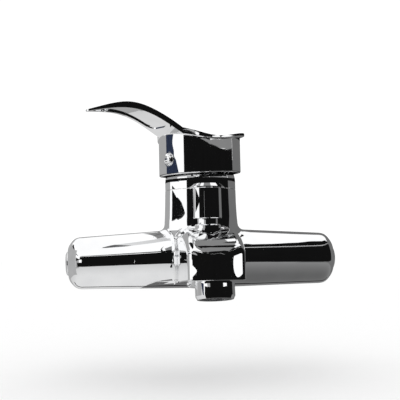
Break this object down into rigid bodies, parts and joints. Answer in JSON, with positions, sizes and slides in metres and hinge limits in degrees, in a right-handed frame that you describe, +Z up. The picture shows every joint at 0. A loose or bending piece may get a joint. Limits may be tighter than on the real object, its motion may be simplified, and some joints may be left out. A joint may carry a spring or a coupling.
{
  "type": "wall mounted bath mixer faucet",
  "caption": "Single-lever wall mounted bath mixer with a short cast spout, pull-up shower diverter, ceramic cartridge and captive union nuts on its wall inlets.",
  "frame": {"origin": "midway between the two inlets, on the plane where the union washers meet the wall pipes", "axes": "+X to the cold (right) inlet along the arms, +Y into the wall, +Z up; the spout points to -Y"},
  "size_m": [0.1846, 0.1275, 0.1222],
  "materials": {
    "chrome": "polished electroplated chrome on cast brass",
    "chrome_handle": "polished electroplated chrome on zinc die casting",
    "chrome_nut": "chrome over milled brass",
    "brass": "turned, unplated",
    "steel": "stainless",
    "rubber": "matt moulded",
    "cartridge_plastic": "moulded acetal",
    "rotor_plastic": "moulded glass-filled nylon",
    "ceramic": null,
    "aerator_plastic": "moulded acetal"
  },
  "bodies": {
    "fixed": {"body": "chrome", "end_plug_left": "chrome", "end_plug_right": "chrome", "inlet_tail_left": "brass", "inlet_tail_right": "brass", "inlet_washer_left": "rubber", "inlet_washer_right": "rubber", "inlet_strainer_left": "steel", "inlet_strainer_right": "steel", "port_seals": "rubber", "cartridge_base": "cartridge_plastic", "fixed_disc": "ceramic", "cartridge_housing": "cartridge_plastic", "retaining_nut": "brass", "dome_cap": "chrome", "diverter_bonnet": "chrome", "bonnet_o_ring": "rubber", "stem_o_ring": "rubber", "aerator_housing": "chrome", "aerator_washer": "rubber", "aerator_insert": "aerator_plastic"},
    "nut_left": {"union_nut_left": "chrome_nut"},
    "nut_right": {"union_nut_right": "chrome_nut"},
    "swivel": {"stem_rotor": "rotor_plastic", "pivot_pin": "steel"},
    "lever": {"handle": "chrome_handle", "lever_stem": "brass", "grub_screw": "steel", "index_plug": "chrome"},
    "mixing_disc": {"moving_disc": "ceramic", "disc_carrier": "rotor_plastic"},
    "diverter": {"diverter_knob": "chrome_handle", "diverter_stem": "brass", "lower_valve_washer": "rubber", "upper_valve_washer": "rubber", "valve_screw": "steel", "diverter_spring": "steel"}
  },
  "joints": [
    {"name": "lever_swivel", "type": "hinge", "parent": "fixed", "child": "swivel", "pos_m": [0, -0.036, 0.049], "axis": [0, 0, 1], "range_deg": [0, 108]},
    {"name": "lever_lift", "type": "hinge", "parent": "swivel", "child": "lever", "pos_m": [0, -0.036, 0.049], "axis": [-0.5878, 0.809, 0], "range_deg": [0, 22]},
    {"name": "mixing_slide", "type": "slide", "parent": "swivel", "child": "mixing_disc", "axis": [-0.809, -0.5878, 0], "range_m": [0, 0.0058]},
    {"name": "diverter_pull", "type": "slide", "parent": "fixed", "child": "diverter", "axis": [0, 0, 1], "range_m": [0, 0.007], "stiffness_N_per_m": 250, "springref_m": -0.004, "deforming": ["diverter_spring"]},
    {"name": "nut_spin_left", "type": "hinge", "parent": "fixed", "child": "nut_left", "pos_m": [-0.075, 0, 0], "axis": [0, 1, 0], "continuous": true},
    {"name": "nut_spin_right", "type": "hinge", "parent": "fixed", "child": "nut_right", "pos_m": [0.075, 0, 0], "axis": [0, 1, 0], "continuous": true}
  ],
  "couplings": [
    {"joint": "mixing_slide", "follows": "lever_lift", "m_per_rad": 0.015}
  ]
}
